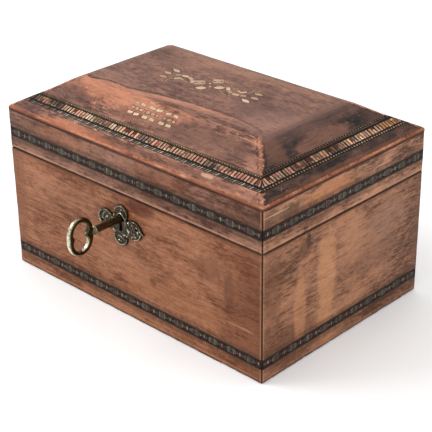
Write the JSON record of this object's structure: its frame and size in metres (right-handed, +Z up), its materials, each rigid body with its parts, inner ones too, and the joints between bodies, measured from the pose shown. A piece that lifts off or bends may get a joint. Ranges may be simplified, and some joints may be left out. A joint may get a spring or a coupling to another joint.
{
  "type": "hinged inlaid wooden storage box with key",
  "caption": "Rectangular wooden storage box with a hinged hipped lid, inlaid bands and mosaic, a pierced escutcheon and a loose key in its lock.",
  "frame": {"origin": "middle of the case's underside, on the surface that it stands on", "axes": "+X along the long front to the right, -Y out of the front with the key, +Z up"},
  "size_m": [0.23, 0.2056, 0.1399],
  "materials": {
    "case_wood": "worn reddish-brown veneer, old satin polish, grain along the length",
    "lid_wood": "worn reddish-brown veneer, darker and scorched in places",
    "bottom_wood": "plain unpolished softwood, aged",
    "band_inlay": "near-black inlaid band with grey-green ovals and small pale dots",
    "mosaic_inlay": "mosaic of small tan, pink, brown and green-black wooden blocks",
    "aged_brass": "dark patinated brass, bright on the high edges",
    "lock_brass": "dull aged brass",
    "hinge_brass": "dull aged brass",
    "pin_steel": "dull drawn wire"
  },
  "bodies": {
    "base": {"base_front_board": "case_wood", "base_back_board": "case_wood", "base_left_board": "case_wood", "base_right_board": "case_wood", "base_bottom_board": "bottom_wood", "base_band_front": "band_inlay", "base_band_back": "band_inlay", "base_band_left": "band_inlay", "base_band_right": "band_inlay", "escutcheon": "aged_brass", "key": "aged_brass", "lock": "lock_brass", "hinge_left_base_leaf": "hinge_brass", "hinge_right_base_leaf": "hinge_brass", "hinge_left_pin": "pin_steel", "hinge_right_pin": "pin_steel"},
    "lid": {"lid_front_board": "lid_wood", "lid_back_board": "lid_wood", "lid_left_board": "lid_wood", "lid_right_board": "lid_wood", "lid_top_panel": "lid_wood", "lid_band_front": "band_inlay", "lid_band_back": "band_inlay", "lid_band_left": "band_inlay", "lid_band_right": "band_inlay", "mosaic_front": "mosaic_inlay", "mosaic_back": "mosaic_inlay", "mosaic_left": "mosaic_inlay", "mosaic_right": "mosaic_inlay", "strike_plate": "lock_brass", "hinge_left_lid_leaf": "hinge_brass", "hinge_right_lid_leaf": "hinge_brass"}
  },
  "joints": [
    {"name": "lid_hinge", "type": "hinge", "parent": "base", "child": "lid", "pos_m": [0, 0.0803, 0.08875], "axis": [-1, 0, 0], "range_deg": [0, 105]}
  ]
}
